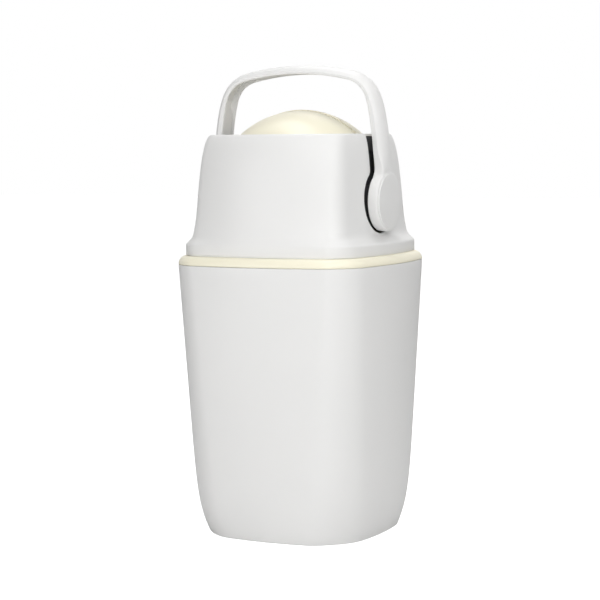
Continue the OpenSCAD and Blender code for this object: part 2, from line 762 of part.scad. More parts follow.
module piston_weight() color(steel) {
    difference() {
        rod_y(-weight_half, weight_half, weight_r);
        at_piston_screws() rod_y(-weight_half - past, weight_half + past, piston_screw_r, 0, 0);
    }
}

module piston_screws() color(steel) {
    at_piston_screws() rod_y(-weight_half - 13, weight_half + 13, piston_screw_r, 0, 0);
}

bin_body();
hinge_pin();
bag_ring();
head_shell();
top_deck();
drum_cradle();
upper_seal();
lower_seal();
bearing_plate_left();
bearing_plate_right();
bush_left();
bush_right();
cradle_screws();
drum_front_half();
drum_rear_half();
chamber_tube();
mouth_ring_front();
mouth_ring_rear();
mouth_seat_front();
mouth_seat_rear();
mouth_screws();
trunnion_left();
trunnion_right();
handle();
arm_insert_left();
arm_insert_right();
hub_screw_left();
hub_screw_right();
hub_cap_left();
hub_cap_right();
piston_cup_front();
piston_cup_rear();
piston_seal();
piston_weight();
piston_screws();
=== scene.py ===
# %% [markdown]
# # A nappy bin with a turning drum
# The bin stands on the floor with its round-cornered body below, a thin cream ring above it, and a
# head that holds a ball-shaped drum. A bail handle turns the drum and tips the nappy inside.
# First the frame comes in: the measured solids, their bodies and joints. They stay where they are,
# and every visible shell that follows is modelled round them, in metres.

# %% Load the frame
import json
import math
import bmesh
import bpy
from mathutils import Matrix, Vector

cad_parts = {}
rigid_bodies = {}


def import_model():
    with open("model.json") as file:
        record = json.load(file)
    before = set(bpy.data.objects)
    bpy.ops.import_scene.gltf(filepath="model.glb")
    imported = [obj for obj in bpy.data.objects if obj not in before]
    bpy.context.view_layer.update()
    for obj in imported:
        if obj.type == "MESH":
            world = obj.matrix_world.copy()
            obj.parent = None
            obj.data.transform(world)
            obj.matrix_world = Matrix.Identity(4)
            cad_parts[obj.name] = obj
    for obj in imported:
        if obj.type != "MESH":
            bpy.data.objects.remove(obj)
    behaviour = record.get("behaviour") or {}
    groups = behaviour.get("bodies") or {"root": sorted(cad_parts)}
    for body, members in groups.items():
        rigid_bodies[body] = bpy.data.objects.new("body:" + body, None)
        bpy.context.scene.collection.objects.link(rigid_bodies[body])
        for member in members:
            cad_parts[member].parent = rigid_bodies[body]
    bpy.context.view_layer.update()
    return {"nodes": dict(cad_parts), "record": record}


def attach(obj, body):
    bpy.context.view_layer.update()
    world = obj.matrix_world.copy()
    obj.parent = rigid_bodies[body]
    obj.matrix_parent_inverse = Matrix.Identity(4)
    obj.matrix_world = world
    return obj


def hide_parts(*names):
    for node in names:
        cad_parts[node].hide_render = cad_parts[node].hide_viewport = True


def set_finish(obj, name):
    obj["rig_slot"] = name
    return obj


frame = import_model()

# %% [markdown]
# ## Sizes
# A moulded bin is drawn from a few sizes, and the rest follows from them. Drawings are in
# millimetres, so the sizes are too, and a point turns into metres only when it is placed. X runs
# to the right, Y to the rear, where the hinge is, and Z up from the floor.

# %% Sizes of the body, the ring and the head
MM = 0.001
SIDES = ((1, "right"), (-1, "left"))
body_h, ring_h, head_h = 330.0, 11.0, 144.5
# half the rim's width, its corner radius, and how much rounder the corners get towards the foot
body_half, rim_corner, foot_corner = 131.5, 35.0, 15.0
# how far the sides draw in over the height, and how far and how soon the foot tucks in
body_taper, foot_tuck, foot_reach = 15.0, 10.5, 27.0
wall, side_crown, flange_inset = 2.6, 0.118, 9.5
axis_rise = 63.5
ring_top = body_h + ring_h
pivot_z = ring_top + axis_rise
# the head's plan at the drum's axis, and how far its front and its sides bow out
head_hx, head_hy, head_corner = 104.0, 116.0, 26.0
front_bow, side_bow = 41.0, 4.3
# the keyhole notch behind each hub: round part, half the slot, and the fillet between them
notch_r, slot_hw, slot_fillet = 38.2, 18.5, 9.0
print("ring top", ring_top, "drum axis", pivot_z, "head rim", ring_top + head_h)

# %% Sizes of the drum and the handle
# the ball, its flat ends and its wall, then the round mouth and the bore of its lip
drum_r, drum_hx, drum_wall = 110.8, 82.0, 2.6
mouth_r, mouth_y, lip_bore = 74.3, 80.0, 72.6
handle_rise = 164.5
handle_top = pivot_z + handle_rise
# half the strap's width, its thickness, how far its outside is crowned, and what an arm adds
strap_hw, strap_t, strap_crown, arm_extra = 15.5, 11.0, 6.0, 2.8
hub_r, hub_in, hub_out = 36.0, 105.5, 118.5
cap_r, cap_t = 33.0, 1.2
print("handle top", handle_top, "hubs", hub_in, "to", hub_out)

# %% [markdown]
# ## Growing a skin
# Most shells here have a plan that changes slowly with height, like a lofted drawing. A circle of
# edges is laid on the first plan, then extruded once for each further plan, and each new loop is
# laid on its own plan. It leaves clean quads, which shade smoothly and take a bevel well. A
# capped skin gets a face on its first and last loop, and an open one is joined to its own start.

# %% Helpers for selecting and placing
def clear_selection():
    if bpy.context.object and bpy.context.object.mode != "OBJECT":
        bpy.ops.object.mode_set(mode="OBJECT")
    bpy.ops.object.select_all(action="DESELECT")


def key_of(point):
    """A place rounded to a thousandth of a millimetre, so that it can be looked up."""
    return tuple(round(c * 1e6) for c in point)


def metres(ring):
    return [Vector(p) * MM for p in ring]


print("the axis in metres:", *metres([(0, 0, pivot_z)]))

# %% A skin that is extruded from ring to ring
def grow_skin(name, rings, capped=True):
    clear_selection()
    bpy.ops.mesh.primitive_circle_add(vertices=len(rings[0]), radius=0.1)
    piece = bpy.context.object
    piece.name = name
    rings = [metres(r) for r in rings]
    bpy.ops.object.mode_set(mode="EDIT")
    skin = bmesh.from_edit_mesh(piece.data)
    skin.verts.ensure_lookup_table()
    for vert, point in zip(skin.verts, rings[0]):
        vert.co = point
    for low, high in zip(rings, rings[1:]):
        step = {key_of(a): b for a, b in zip(low, high)}
        bpy.ops.mesh.extrude_region_move()
        skin = bmesh.from_edit_mesh(piece.data)
        for vert in skin.verts:
            if vert.select:
                vert.co = step[key_of(vert.co)]
    if capped:
        bpy.ops.mesh.edge_face_add()
        bpy.ops.mesh.select_all(action="DESELECT")
        bpy.ops.mesh.select_mode(type="VERT")
        skin = bmesh.from_edit_mesh(piece.data)
        skin.verts.ensure_lookup_table()
        for vert in skin.verts[:len(rings[0])]:
            vert.select = True
        skin.select_flush_mode()
        bpy.ops.mesh.edge_face_add()
    close_up(piece)
    return piece

# %% Merging, smoothing and reporting
def close_up(piece):
    if piece.mode != "EDIT":
        bpy.ops.object.mode_set(mode="EDIT")
    bpy.ops.mesh.select_all(action="SELECT")
    bpy.ops.mesh.remove_doubles(threshold=1e-6)
    bpy.ops.mesh.normals_make_consistent(inside=False)
    bpy.ops.object.mode_set(mode="OBJECT")


def only(piece):
    clear_selection()
    piece.select_set(True)
    bpy.context.view_layer.objects.active = piece


def smooth(piece, degrees=38):
    only(piece)
    bpy.ops.object.shade_smooth_by_angle(angle=math.radians(degrees))


def soften(piece, width, segments, degrees):
    only(piece)
    edge = piece.modifiers.new("soft edges", "BEVEL")
    edge.width = width * MM
    edge.segments = segments
    edge.limit_method = "ANGLE"
    edge.angle_limit = math.radians(degrees)
    bpy.ops.object.modifier_apply(modifier=edge.name)


def finish_piece(piece, body, slot, *nodes):
    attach(piece, body)
    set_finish(piece, slot)
    if nodes:
        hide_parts(*nodes)
    print(piece.name, "faces", len(piece.data.polygons), "rides on", body)

# %% [markdown]
# ## Plans
# The body's plan is a rounded square whose sides swell a little, so that light runs over them
# softly. The head's plan is bowed more in front, and its corners are arcs that run into the bows
# without a kink.

# %% The rounded square of the body, the ring and the flange
CORNER_STEPS, SIDE_STEPS = 12, 18


def along(a, b, n):
    """The points that cut the line from a to b into n parts."""
    return [(a[0] + (b[0] - a[0]) * i / n, a[1] + (b[1] - a[1]) * i / n) for i in range(1, n)]


def square_plan(half, r):
    corners = []
    for sx, sy, turn in ((1, 1, 0), (-1, 1, 90), (-1, -1, 180), (1, -1, 270)):
        angles = [math.radians(turn + 90 * i / CORNER_STEPS) for i in range(CORNER_STEPS + 1)]
        corners.append([(sx * (half - r) + r * math.cos(t), sy * (half - r) + r * math.sin(t))
                        for t in angles])
    loop = []
    for here, there in zip(corners, corners[1:] + corners[:1]):
        loop += here + along(here[-1], there[0], SIDE_STEPS)
    return [(x * (1 - side_crown * (y / half) ** 2), y * (1 - side_crown * (x / half) ** 2))
            for x, y in loop]


def flat_ring(points, z):
    return [(x, y, z) for x, y in points]


print("points round a plan:", len(square_plan(body_half, rim_corner)))

# %% The head's own plan, bowed arcs between arc corners
def head_plan(cx, cy, inset):
    """The plan whose corner arcs have their middles at cx and cy, drawn in by inset."""
    hx, hy, r = cx + head_corner + side_bow - inset, cy + front_bow - inset, head_corner - inset
    side_r = ((hx - cx) ** 2 + cy * cy - r * r) / (2 * (hx - cx - r))
    front_r = ((hy - cy) ** 2 + cx * cx - r * r) / (2 * (hy - cy - r))
    a, b = math.asin(cy / (side_r - r)), math.acos(cx / (front_r - r))
    right = [(cx + r * math.cos(a + (b - a) * i / CORNER_STEPS),
              cy + r * math.sin(a + (b - a) * i / CORNER_STEPS)) for i in range(CORNER_STEPS + 1)]
    rear, side = [], []
    for i in range(1, SIDE_STEPS):
        t = b + (math.pi - 2 * b) * i / SIDE_STEPS
        rear.append((front_r * math.cos(t), hy - front_r + front_r * math.sin(t)))
        t = math.pi - a + 2 * a * i / SIDE_STEPS
        side.append((side_r - hx + side_r * math.cos(t), side_r * math.sin(t)))
    half = right + rear + [(-x, y) for x, y in reversed(right)] + side
    return half + [(-x, -y) for x, y in half]


corner_x, corner_y = head_hx - side_bow - head_corner, head_hy - front_bow
print("points round the head:", len(head_plan(corner_x, corner_y, 0)))

# %% A smooth curve through a short table
def through(table, x):
    """The height at x of a curve that goes through the rows and never swings past them."""
    rows = sorted(table)
    if x <= rows[0][0]:
        return rows[0][1]
    for i in range(len(rows) - 1):
        (x0, y0), (x1, y1) = rows[i], rows[i + 1]
        if x <= x1:
            span = x1 - x0
            chord = (y1 - y0) / span
            before = (y0 - rows[i - 1][1]) / (x0 - rows[i - 1][0]) if i else chord
            after = (rows[i + 2][1] - y1) / (rows[i + 2][0] - x1) if i + 2 < len(rows) else chord
            m0 = 0 if before * chord <= 0 else 2 * before * chord / (before + chord)
            m1 = 0 if after * chord <= 0 else 2 * after * chord / (after + chord)
            t = (x - x0) / span
            return ((2 * t ** 3 - 3 * t ** 2 + 1) * y0 + (t ** 3 - 2 * t ** 2 + t) * span * m0
                    + (3 * t ** 2 - 2 * t ** 3) * y1 + (t ** 3 - t ** 2) * span * m1)
    return rows[-1][1]


print("halfway up a step from 1 to 3:", through([(0, 1), (10, 3)], 5))

# %% [markdown]
# ## The bin body
# The body is one injection-moulded shell. It draws in evenly towards the floor, and its foot
# tucks in faster over the last few centimetres. The skin is grown from the floor up the outside,
# over a rounded rim, and down the inside.

# %% The body's rings
FOOT_CURVE = 1.1


def body_ring(z, inset):
    drawn_in = (body_taper * (1 - z / body_h)
                + foot_tuck * math.exp(-(max(z, 0) / foot_reach) ** FOOT_CURVE) + inset)
    corner = rim_corner + foot_corner * (1 - z / body_h) - inset
    return flat_ring(square_plan(body_half - drawn_in, corner), z)


def rounded(r, z, up, steps=4):
    """Heights and insets round an edge of radius r whose flat lies at z and faces up or down."""
    turns = [math.radians(90 * i / steps) for i in range(steps + 1)]
    return [(z + up * (r * math.sin(t) - r), r * (1 - math.cos(t))) for t in turns]


foot_edge, rim_edge = 1.6, 0.9
body_levels = [3, 5, 8, 11, 14, 18, 22, 27, 32, 38, 45, 53, 62, 72, 85, 100, 120, 145, 175, 210,
               250, 290, 320]
foot = list(reversed(rounded(foot_edge, 0, -1)))
rim_out = rounded(rim_edge, body_h, 1)
rim_in = [(z, wall - i) for z, i in reversed(rim_out)]
inner_corner = [(4.5, wall + 1.5), (3, wall + 6)]
outside = foot + [(z, 0) for z in body_levels] + rim_out
inside = rim_in + [(z, wall) for z in reversed(body_levels[2:])] + inner_corner
bin_shell = grow_skin("bin_shell", [body_ring(z, i) for z, i in outside + inside])
smooth(bin_shell)
finish_piece(bin_shell, "bin", "white_plastic", "bin_body")

# %% [markdown]
# ## The cream ring
# The ring clamps the bag. It rounds over from a thin shadow gap above the body to the head's
# flange, and its skirt goes down inside the body's rim. Its section is a closed loop, so the skin
# is grown round that loop, from the skirt up the outside, over the top and down the bore.

# %% The ring's rings
flange_half, flange_corner = body_half - flange_inset, rim_corner - flange_inset
ring_gap, skirt_depth, skirt_t, skirt_in = 1.0, 12.0, 2.2, wall + 1.9
bore_in, under_ring = flange_inset + 9, body_h + 0.3


def ring_section(z, inset):
    return flat_ring(square_plan(body_half - inset, rim_corner - inset), z)


skirt = [(body_h - skirt_depth, skirt_in), (body_h - 2, skirt_in), (under_ring, skirt_in),
         (under_ring, 2.2), (under_ring, 0.9), (body_h + 0.5, 0.3)]
shoulder = [(body_h + ring_gap + (ring_h - ring_gap) * math.sin(math.radians(t)),
             flange_inset * (1 - math.cos(math.radians(t)))) for t in range(0, 91, 6)]
top_and_bore = [(ring_top, flange_inset + 4), (ring_top, bore_in - 0.6), (ring_top - 0.6, bore_in),
                (ring_top - 3, bore_in), (body_h, skirt_in + skirt_t),
                (body_h - skirt_depth, skirt_in + skirt_t)]
ring_rings = [ring_section(z, i) for z, i in skirt + shoulder + top_and_bore]
bag_ring = grow_skin("ring_shell", ring_rings + ring_rings[:1], capped=False)
smooth(bag_ring)
finish_piece(bag_ring, "ring", "cream_plastic", "bag_ring")

# %% [markdown]
# ## The head
# The head's front runs straight up from the flange, while its sides step back over a soft ledge
# to make room for the handle's hubs. One table says, by height, how far the corners stand out, and
# the other how far the plan has turned from the flange's plan into the head's own. The skin goes
# up the outside, over the rounded rim and down the inside.

# %% The head's form by height above the ring
grow_table = [(0, 6), (9, 6), (13, 5.8), (17, 5.6), (21, 5.3), (24.5, 5.1), (28, 4.7), (40, 2.5),
              (63.5, 0), (88.5, -2.4), (113, -5.4), (125, -7.7), (132, -9.4), (138, -11.6),
              (142, -13.6), (144.5, -15.0)]
turn_table = [(0, 0), (13, 0), (14.5, 0.08), (16, 0.25), (18.5, 0.53), (21.5, 0.8), (25, 0.95),
              (28, 1), (144.5, 1)]
# how much of that growth the corners take sideways and to the front
grow_x, grow_y = 0.56, 1.1


def head_ring(h, inset):
    grow, turned = through(grow_table, h), through(turn_table, h)
    low = square_plan(flange_half - inset, flange_corner - inset)
    high = head_plan(corner_x + grow_x * grow, corner_y + grow_y * grow, inset)
    return [(a[0] + (b[0] - a[0]) * turned, a[1] + (b[1] - a[1]) * turned, ring_top + h)
            for a, b in zip(low, high)]

# %% The head's skin
head_seat, head_rim = 0.15, 2.0
ledge_levels = [10 + 1.25 * i for i in range(11)]
head_levels = [0.5, 3, 6, 9] + ledge_levels + [
    24.5, 27, 30, 33, 37, 42, 48, 55, 63.5, 72, 80, 88.5, 97, 105, 113, 119, 125, 129, 132, 135,
    138, 140.5]
head_out = [(head_seat, 0.3)] + [(h, 0) for h in head_levels] + rounded(head_rim, head_h, 1, 5)
head_in = [(head_h, wall + 0.6)] + [(h, wall) for h in reversed(head_levels) if h > 12 or h < 4]
head_rings = [head_ring(h, i) for h, i in head_out + head_in] + [head_ring(head_seat, wall)]
head_shell = grow_skin("head_outer_shell", head_rings + head_rings[:1], capped=False)
print("head shell", len(head_shell.data.polygons), "faces before the notches")

# %% [markdown]
# ## The keyhole notches
# Each side wall is cut by a round notch behind the hub and a slot that runs from it up to the rim.
# The outline is drawn once as a flat shape, pushed through the wall, and taken away with a
# boolean. The cut's outer edge is then rolled over, as the moulded lip is.

# %% The keyhole's outline and its cutter
FILLET_STEPS, NOTCH_STEPS = 8, 40
cutter_in, cutter_out = 88, 140


def keyhole():
    """One half from the top of the slot down to the bottom, then mirrored."""
    fy = slot_hw + slot_fillet
    fz = math.sqrt((notch_r + slot_fillet) ** 2 - fy * fy)
    start = math.atan2(fz, fy)
    points = [(slot_hw, z) for z in (head_h, 100, 72, 55, fz + 6)]
    for i in range(FILLET_STEPS + 1):
        t = math.pi + start * i / FILLET_STEPS
        points.append((fy + slot_fillet * math.cos(t), fz + slot_fillet * math.sin(t)))
    for i in range(1, NOTCH_STEPS + 1):
        t = start - (start + math.pi / 2) * i / NOTCH_STEPS
        points.append((notch_r * math.cos(t), notch_r * math.sin(t)))
    return points + [(-y, z) for y, z in reversed(points[:-1])]


def prism_x(name, outline, x0, x1):
    """A solid whose outline in Y and Z runs sideways from x0 to x1."""
    return grow_skin(name, [[(x, y, z) for y, z in outline] for x in (x0, x1)])


def carve(piece, cutter, how="DIFFERENCE"):
    only(piece)
    cut = piece.modifiers.new("cut", "BOOLEAN")
    cut.operation = how
    cut.object = cutter
    cut.solver = "EXACT"
    bpy.ops.object.modifier_apply(modifier=cut.name)
    bpy.data.objects.remove(cutter, do_unlink=True)


notch_outline = [(y, pivot_z + z) for y, z in keyhole()]
for side, word in SIDES:
    cutter = prism_x("keyhole_cutter", notch_outline, side * cutter_in, side * cutter_out)
    carve(head_shell, cutter)
    print("head shell", len(head_shell.data.polygons), "faces with the notch on the", word)

# %% Rolling the cut's outer edge
CUT_ANGLE, NOTCH_WALL_TILT, OUTSIDE_TILT = math.radians(50), 0.12, 0.02


def outer_cut_edges(mesh):
    """Edges between the keyhole's wall, which faces along Y or Z, and the head's outside."""
    marked = []
    for edge in mesh.edges:
        if len(edge.link_faces) != 2:
            continue
        a, b = edge.link_faces[0].normal, edge.link_faces[1].normal
        if a.angle(b, 0) < CUT_ANGLE:
            continue
        x = edge.verts[0].co.x
        on_notch = min(abs(a.x), abs(b.x)) < NOTCH_WALL_TILT
        on_outside = max(a.x * x, b.x * x) > OUTSIDE_TILT
        if on_notch and on_outside and abs(x) > cutter_in * MM:
            marked.append(edge)
    return marked


def by_place(edge):
    """Sorts edges by where they lie, because a boolean gives them in no fixed order."""
    return sorted(key_of(v.co) for v in edge.verts)


def clear_beside(mesh, chosen, reach):
    """Welds points that lie too near a chosen edge onto it, so that a bevel has room."""
    chosen = sorted(chosen, key=by_place)
    on_cut = dict.fromkeys(v for edge in chosen for v in edge.verts)
    onto = {}
    for edge in chosen:
        a, b = sorted(edge.verts, key=lambda v: key_of(v.co))
        short = edge.calc_length() < 0.3 * reach
        if short and a not in onto and b not in onto and a not in onto.values():
            onto[a] = b
    for vert in sorted(on_cut, key=lambda v: key_of(v.co)):
        for edge in sorted(vert.link_edges, key=by_place):
            near = edge.other_vert(vert)
            if near not in on_cut and near not in onto and vert not in onto:
                if edge.calc_length() < reach:
                    onto[near] = vert
    bmesh.ops.weld_verts(mesh, targetmap=onto)
    mesh.normal_update()
    print("points welded beside the cut:", len(onto))


def roll_edges(piece, pick, width, segments=4):
    only(piece)
    bpy.ops.object.mode_set(mode="EDIT")
    bpy.ops.mesh.select_mode(type="EDGE")
    bpy.ops.mesh.select_all(action="DESELECT")
    mesh = bmesh.from_edit_mesh(piece.data)
    mesh.normal_update()
    clear_beside(mesh, pick(mesh), 1.6 * width * MM)
    chosen = pick(mesh)
    for edge in chosen:
        edge.select = True
    bmesh.update_edit_mesh(piece.data)
    bpy.ops.mesh.bevel(offset=width * MM, segments=segments, affect="EDGES")
    bpy.ops.mesh.select_mode(type="VERT")
    bpy.ops.object.mode_set(mode="OBJECT")
    print("rolled", len(chosen), "edges of", piece.name)


notch_lip = 0.9
roll_edges(head_shell, outer_cut_edges, notch_lip)
smooth(head_shell, 45)
finish_piece(head_shell, "head", "white_plastic", "head_shell")

# %% [markdown]
# ## The drum
# The drum is a ball in two halves with flat ends. The halves meet in a seam over the top, where
# the rear half's lip stands a touch proud. A sphere is turned so that its poles lie on the
# chamber's axis, then bisected at the seam, at the flat ends and at the round mouth. Both halves
# are drawn as front ones, and the rear one is mirrored once its tongue is on.

# %% Helpers for a half of the drum
DRUM_SEGMENTS, DRUM_RINGS = 144, 96
drum_middle = Vector((0, 0, pivot_z * MM))


def select_loop(piece, y):
    """Selects the points that lie at y millimetres, and nothing else."""
    bpy.ops.mesh.select_mode(type="VERT")
    bpy.ops.mesh.select_all(action="DESELECT")
    mesh = bmesh.from_edit_mesh(piece.data)
    for vert in mesh.verts:
        if abs(vert.co.y - y * MM) < 1e-5:
            vert.select = True
    mesh.select_flush_mode()
    bmesh.update_edit_mesh(piece.data)


def extrude_along_y(length):
    bpy.ops.mesh.extrude_region_move(TRANSFORM_OT_translate={"value": (0, length * MM, 0)})


def extrude_inwards(share, y):
    """A flat flange from the selected loop towards the chamber's axis."""
    bpy.ops.mesh.extrude_region_move()
    bpy.ops.transform.resize(value=(share, 1, share),
                             center_override=drum_middle + Vector((0, y * MM, 0)))


print("the drum turns about", tuple(drum_middle))

# %% One half of the drum
def drum_half(name, radius, seam):
    clear_selection()
    bpy.ops.mesh.primitive_uv_sphere_add(segments=DRUM_SEGMENTS, ring_count=DRUM_RINGS,
                                         radius=radius * MM, location=drum_middle,
                                         rotation=(math.radians(90), 0, 0))
    piece = bpy.context.object
    piece.name = name
    bpy.ops.object.transform_apply(location=True, rotation=True, scale=True)
    lip = math.sqrt(radius ** 2 - mouth_r ** 2)
    cuts = [((0, -seam * MM, 0), (0, 1, 0), False), ((0, -lip * MM, 0), (0, -1, 0), False),
            ((drum_hx * MM, 0, 0), (1, 0, 0), True), ((-drum_hx * MM, 0, 0), (-1, 0, 0), True)]
    bpy.ops.object.mode_set(mode="EDIT")
    for point, normal, fill in cuts:
        bpy.ops.mesh.select_all(action="SELECT")
        bpy.ops.mesh.bisect(plane_co=point, plane_no=normal, use_fill=fill, clear_outer=True,
                            threshold=1e-6)
    select_loop(piece, -lip)
    extrude_along_y(lip - mouth_y)
    extrude_inwards(lip_bore / mouth_r, -mouth_y)
    bpy.ops.object.mode_set(mode="OBJECT")
    return piece

# %% Both halves, with the tongue under the seam
seam_gap, seam_step, tongue_gap, tongue_reach = 0.9, 1.2, 0.3, 5.0
front_half = drum_half("drum_front_shell", drum_r - seam_step, seam_gap)
rear_half = drum_half("drum_rear_shell", drum_r, 0.0)
only(rear_half)
bpy.ops.object.mode_set(mode="EDIT")
select_loop(rear_half, 0)
extrude_inwards((drum_r - seam_step - drum_wall - tongue_gap) / drum_r, 0)
extrude_along_y(tongue_reach)
bpy.ops.mesh.select_all(action="SELECT")
bpy.ops.transform.resize(value=(1, -1, 1), center_override=(0, 0, 0))
bpy.ops.object.mode_set(mode="OBJECT")
for half in (front_half, rear_half):
    only(half)
    close_up(half)
    shell = half.modifiers.new("wall", "SOLIDIFY")
    shell.thickness = drum_wall * MM
    shell.offset = -1
    bpy.ops.object.modifier_apply(modifier=shell.name)
    soften(half, 0.5, 3, 34)
    smooth(half, 30)
finish_piece(front_half, "drum", "cream_plastic", "drum_front_half")
finish_piece(rear_half, "drum", "cream_plastic", "drum_rear_half")

# %% [markdown]
# ## The handle
# The handle is a D-shaped strap: flat inside, rounded outside. Its outer line is drawn as a
# shallow crown, a corner and an arm that flares out to the hub. At each point of that line a
# section is laid square to it, and the skin is grown from section to section. The corners and
# arms are hollow on the inside, so the section's channel deepens from nothing at the crossbar.

# %% The handle's outer line, from the middle of the crossbar down to the hub
crown_drop = 8.2
crown_end = (72.5, handle_top - crown_drop)
corner_knot = (97.8, handle_top - 14.2)
arm_top = (106.7, handle_top - 40.1)
arm_knot = (117.0, handle_top - 70.0)
arm_foot = (hub_out - 0.6, pivot_z + 42)
CROWN_STEPS, CORNER_BENDS, ARM_BENDS, FOOT_STEPS, foot_step = 14, 24, 18, 14, 2.5


def bend(a, b, c, t):
    """The point at t on a curve from a to c that is drawn towards b."""
    return tuple(p * (1 - t) ** 2 + q * 2 * t * (1 - t) + r * t * t for p, q, r in zip(a, b, c))


def handle_line():
    crown = [(crown_end[0] * i / CROWN_STEPS, handle_top - crown_drop * (i / CROWN_STEPS) ** 2)
             for i in range(CROWN_STEPS)]
    corner = [bend(crown_end, corner_knot, arm_top, i / CORNER_BENDS) for i in range(CORNER_BENDS)]
    arm = [bend(arm_top, arm_knot, arm_foot, i / ARM_BENDS) for i in range(ARM_BENDS)]
    foot = [(arm_foot[0], arm_foot[1] - foot_step * i) for i in range(FOOT_STEPS)]
    return crown + corner + arm + foot


half_line = handle_line()
line = [(-x, z) for x, z in reversed(half_line)] + half_line[1:]
print("stations on the handle's line:", len(line))

# %% The strap's width and thickness along the line
neck_fillet = 15.0
neck_y = strap_hw + neck_fillet
neck_z = math.sqrt((hub_r + neck_fillet) ** 2 - neck_y ** 2)
tangent_z = neck_z * hub_r / (hub_r + neck_fillet)
hub_cover, foot_hw = 2.5, 21.0
gain_start, gain_length = 0.03, 0.456
# on the hub the strap is a touch thinner than the disc, so that no two faces share a plane
hub_thinning, thinning_start, blend_length = 1.4, 36, 30


def ease(t):
    """Goes from 0 to 1 with a soft start and a soft end."""
    t = min(max(t, 0.0), 1.0)
    return t * t * (3 - 2 * t)


def half_width(height):
    """Half the strap's width at a height over the axis: it flares into the hub by a fillet."""
    if height >= neck_z:
        return strap_hw
    if height > tangent_z:
        return neck_y - math.sqrt(neck_fillet ** 2 - (neck_z - height) ** 2)
    return min(math.sqrt(hub_r ** 2 - height ** 2) - hub_cover, foot_hw)


def thickness(z):
    gain = arm_extra * ease(((handle_top - z) / handle_rise - gain_start) / gain_length)
    thinner = hub_thinning * (1 - ease((z - pivot_z - thinning_start) / blend_length))
    return strap_t + gain - thinner


print("thickness at the top", thickness(handle_top), "and on the arm", thickness(arm_foot[1]))

# %% The strap's section at one station
CHANNEL_LIP, CHANNEL_FLOOR = 3.2, 5.4
channel_start, channel_full = 58.0, 76.0
channel_foot, channel_fade = 40, 8
crown_foot = 34
EDGE_ROLL, OUTER_STEPS = 0.8, 16


def strap_section(x, z):
    """Points across the strap and their depth under its outer line, outside first."""
    height = z - pivot_z
    hw = half_width(height)
    crown = strap_crown * ease((height - crown_foot) / blend_length)
    thick = thickness(z)
    deep = thick - CHANNEL_FLOOR
    deep *= ease((abs(x) - channel_start) / (channel_full - channel_start))
    deep *= ease((height - channel_foot) / channel_fade)
    outer = []
    for i in range(OUTER_STEPS + 1):
        u = -1 + 2 * i / OUTER_STEPS
        outer.append((u * (hw - EDGE_ROLL * abs(u) ** 9), crown * u * u + 0.9 * abs(u) ** 12))
    edge = hw - CHANNEL_LIP
    inner = [(hw, crown + 1.6), (hw, thick - EDGE_ROLL), (hw - EDGE_ROLL, thick),
             (edge + 0.6, thick), (edge, thick - 0.6 * min(deep, 1)), (edge, thick - deep * 0.55),
             (edge - 0.5, thick - deep), (0, thick - deep)]
    mirror = [(-y, d) for y, d in reversed(inner[:-1])]
    return outer + inner + mirror


print("points round the strap:", len(strap_section(0, handle_top)))

# %% The strap
def station_normals(points):
    """At each station, the direction square to the line, towards the inside of the bail."""
    normals = []
    for i in range(len(points)):
        a, b = points[max(i - 1, 0)], points[min(i + 1, len(points) - 1)]
        dx, dz = b[0] - a[0], b[1] - a[1]
        size = math.hypot(dx, dz)
        normals.append((dz / size, -dx / size))
    return normals


strap_rings = []
for (x, z), (nx, nz) in zip(line, station_normals(line)):
    strap_rings.append([(x + nx * d, y, z + nz * d) for y, d in strap_section(x, z)])
handle = grow_skin("handle_shell", strap_rings)
print("handle strap", len(handle.data.polygons), "faces")

# %% [markdown]
# ## The hubs and their caps
# Each arm ends in a round hub that turns with the drum. The hub is a disc whose outer edge is
# rolled over, and a slightly domed cap closes it. The discs are joined to the strap with a
# boolean, so that the handle is one moulded piece.

# %% A disc across the X axis with a rolled edge
WALL_STEPS, ROLL_STEPS, DISC_STEPS = (0.06, 0.2, 0.35, 0.5, 0.65, 0.8, 1), 6, 96
DOME_STEPS = (0.8, 0.55, 0.3, 0.1)
hub_roll, hub_drawn_in, cap_roll, cap_dome, cap_sunk = 2.6, 0.7, 0.8, 0.5, 0.4


def circle(r, steps, y=0.0, z=0.0):
    turns = [2 * math.pi * i / steps for i in range(steps)]
    return [(y + r * math.cos(t), z + r * math.sin(t)) for t in turns]


def disc(name, r, x0, x1, roll, dome=0.0, drawn_in=0.0):
    """A disc on the drum's axis whose face at x1 is domed and whose foot at x0 is drawn in."""
    sign = 1 if x1 > x0 else -1
    path = [(r - 0.8 - drawn_in, x0), (r - 0.2 - drawn_in, x0 + sign * 0.2)]
    path += [(r - drawn_in * (1 - k) ** 2, x0 + (x1 - sign * roll - x0) * k) for k in WALL_STEPS]
    for i in range(1, ROLL_STEPS + 1):
        t = math.radians(90 * i / ROLL_STEPS)
        path.append((r - roll + roll * math.cos(t), x1 - sign * roll * (1 - math.sin(t))))
    path += [((r - roll) * k, x1 + sign * dome * (1 - k * k)) for k in DOME_STEPS]
    return grow_skin(name, [[(x, y, z) for y, z in circle(q, DISC_STEPS, 0.0, pivot_z)]
                            for q, x in path])


for side, word in SIDES:
    carve(handle, disc("hub_disc", hub_r, side * hub_in, side * hub_out, hub_roll,
                       drawn_in=hub_drawn_in), "UNION")
    cap = disc("hub_cap_shell_" + word, cap_r, side * (hub_out - cap_sunk),
               side * (hub_out + cap_t), cap_roll, cap_dome)
    smooth(cap, 40)
    finish_piece(cap, "drum", "white_plastic", "hub_cap_" + word)
smooth(handle, 40)
finish_piece(handle, "drum", "white_plastic", "handle")

# %% [markdown]
# ## The inserts in the arms
# A strip closes most of each arm's channel and leaves a narrow gap along its rear edge. Its top is
# cut on a slant. The strip follows the handle's own line, a little below the inner face.

